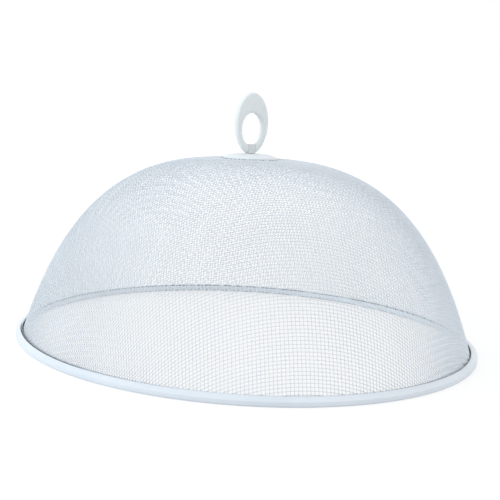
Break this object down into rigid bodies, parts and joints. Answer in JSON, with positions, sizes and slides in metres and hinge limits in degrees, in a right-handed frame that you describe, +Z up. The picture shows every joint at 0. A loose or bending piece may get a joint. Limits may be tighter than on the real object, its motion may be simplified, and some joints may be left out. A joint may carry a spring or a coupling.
{
  "type": "domed mesh food cover",
  "caption": "Domed wire-mesh food cover with a rolled metal rim and an upright oval ring handle that turns on one screw.",
  "frame": {"origin": "centre of the rim's underside, on the table", "axes": "+Z up along the dome's axis; the picture looks along +Y, with +X to its right"},
  "size_m": [0.355, 0.355, 0.191],
  "materials": {
    "wire_cloth": "white coated wire, satin",
    "rim_paint": "white enamel, semi-gloss",
    "plate_paint": "white enamel, semi-gloss",
    "zinc_plate": "zinc plated",
    "handle_plastic": "smooth off-white, semi-gloss",
    "zinc_screw": "zinc plated"
  },
  "bodies": {
    "cover": {"mesh_dome": "wire_cloth", "rim_band": "rim_paint", "top_plate": "plate_paint", "under_plate": "zinc_plate"},
    "handle": {"handle_loop": "handle_plastic", "handle_screw": "zinc_screw"}
  },
  "joints": [
    {"name": "handle_turn", "type": "hinge", "parent": "cover", "child": "handle", "pos_m": [0, 0, 0.1442], "axis": [0, 0, 1], "continuous": true}
  ]
}
